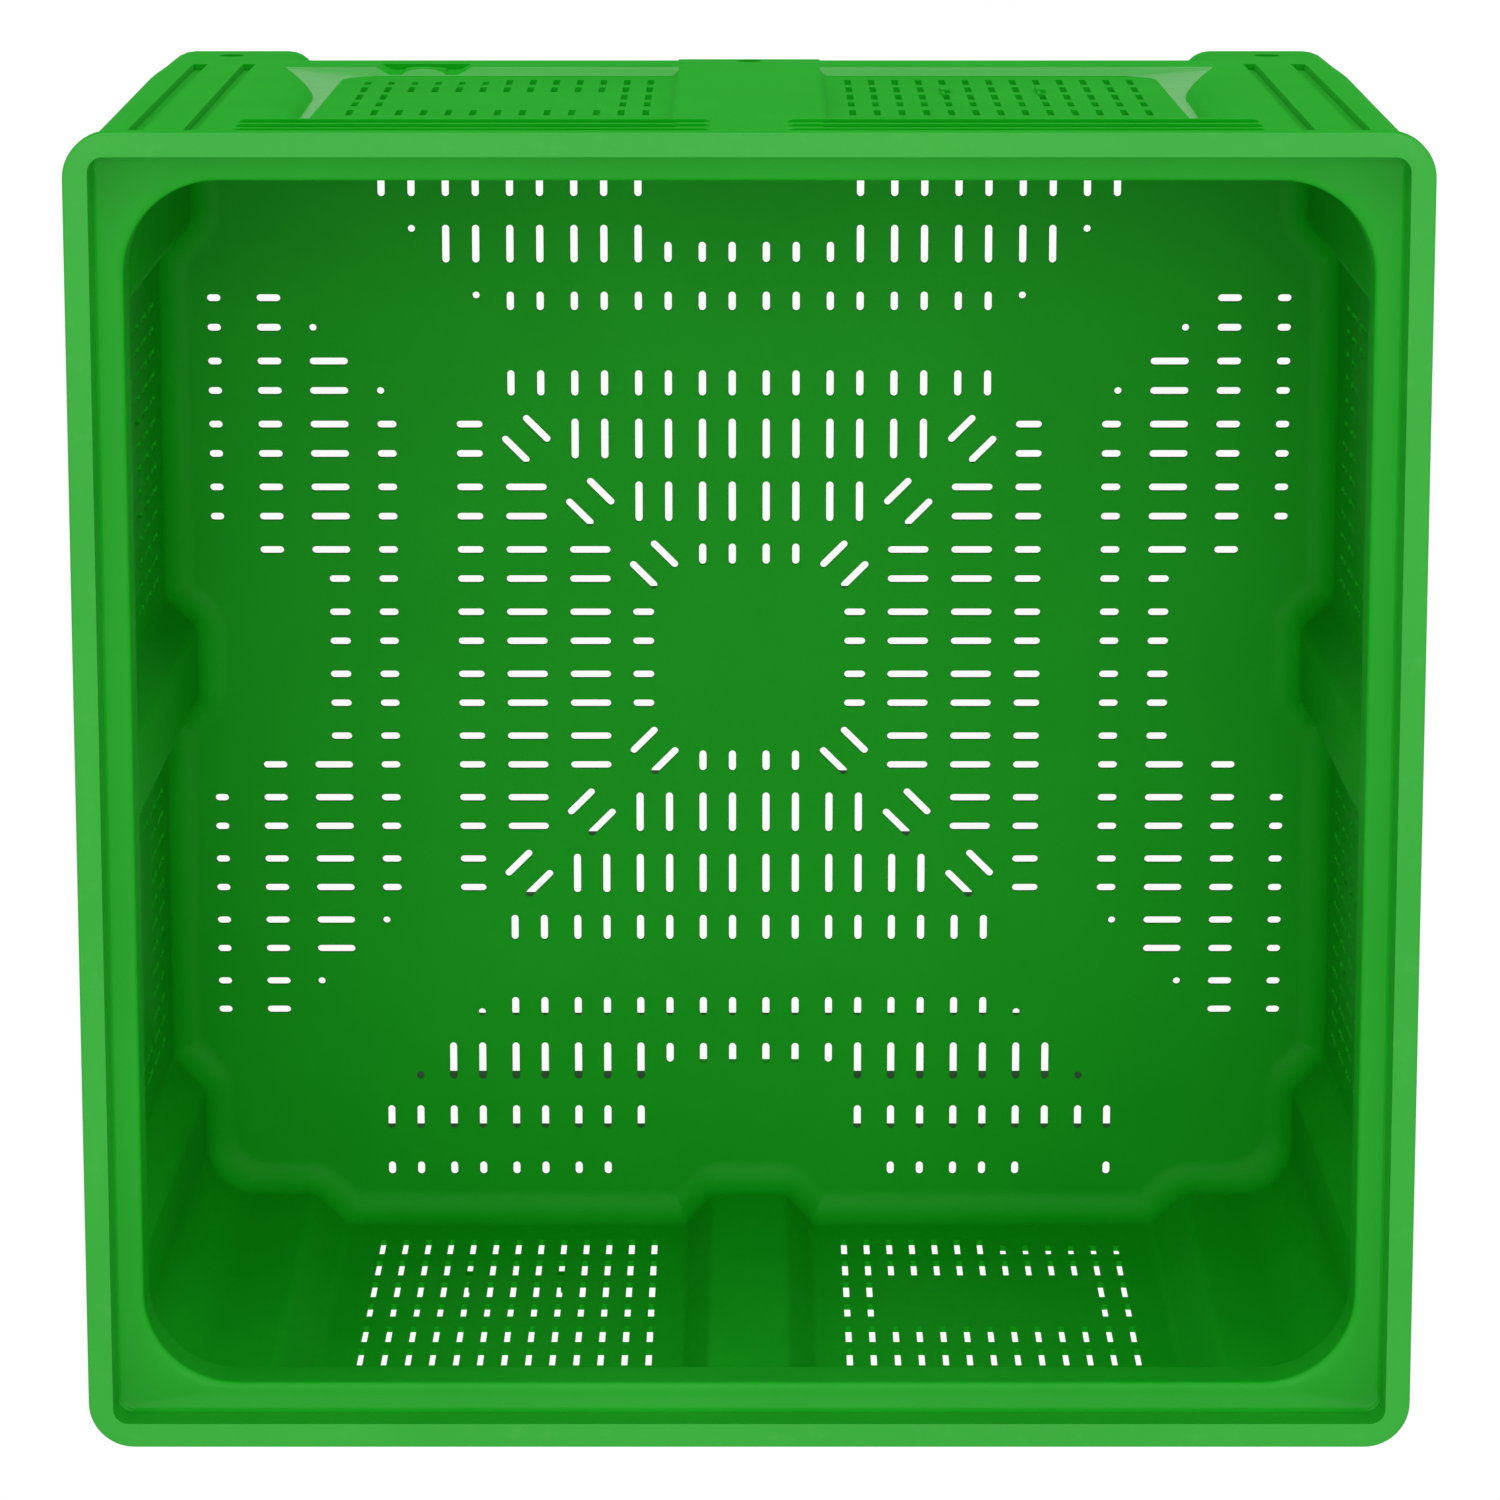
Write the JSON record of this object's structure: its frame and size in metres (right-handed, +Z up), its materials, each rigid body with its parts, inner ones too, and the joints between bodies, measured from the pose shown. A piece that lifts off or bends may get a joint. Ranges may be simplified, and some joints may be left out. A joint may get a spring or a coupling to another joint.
{
  "type": "stacking bulk crate",
  "caption": "Large square stacking crate with a slotted floor, vented walls between ribbed posts, a raised stacking rim and block feet for fork access.",
  "frame": {"origin": "on the ground under the middle of the crate", "axes": "+Z up; +Y towards the back wall, +X towards the right wall; the four walls are quarter turns of one design"},
  "size_m": [1.139, 1.139, 0.78],
  "materials": {
    "moulded_green": "satin moulded polyethylene"
  },
  "bodies": {
    "root": {"floor_deck": "moulded_green", "floor_rib_grid": "moulded_green", "foot_centre": "moulded_green", "foot_back_right": "moulded_green", "foot_back_left": "moulded_green", "foot_front_left": "moulded_green", "foot_front_right": "moulded_green", "foot_back": "moulded_green", "foot_left": "moulded_green", "foot_front": "moulded_green", "foot_right": "moulded_green", "post_back_right": "moulded_green", "post_back_left": "moulded_green", "post_front_left": "moulded_green", "post_front_right": "moulded_green", "post_back": "moulded_green", "post_left": "moulded_green", "post_front": "moulded_green", "post_right": "moulded_green", "skirt_back_plain": "moulded_green", "skirt_back_pocket": "moulded_green", "vent_panel_back_full": "moulded_green", "vent_panel_back_label": "moulded_green", "upper_band_back_a": "moulded_green", "upper_band_back_b": "moulded_green", "skirt_left_plain": "moulded_green", "skirt_left_pocket": "moulded_green", "vent_panel_left_full": "moulded_green", "vent_panel_left_label": "moulded_green", "upper_band_left_a": "moulded_green", "upper_band_left_b": "moulded_green", "skirt_front_plain": "moulded_green", "skirt_front_pocket": "moulded_green", "vent_panel_front_full": "moulded_green", "vent_panel_front_label": "moulded_green", "upper_band_front_a": "moulded_green", "upper_band_front_b": "moulded_green", "skirt_right_plain": "moulded_green", "skirt_right_pocket": "moulded_green", "vent_panel_right_full": "moulded_green", "vent_panel_right_label": "moulded_green", "upper_band_right_a": "moulded_green", "upper_band_right_b": "moulded_green", "rim_back": "moulded_green", "rim_left": "moulded_green", "rim_front": "moulded_green", "rim_right": "moulded_green"}
  },
  "joints": []
}
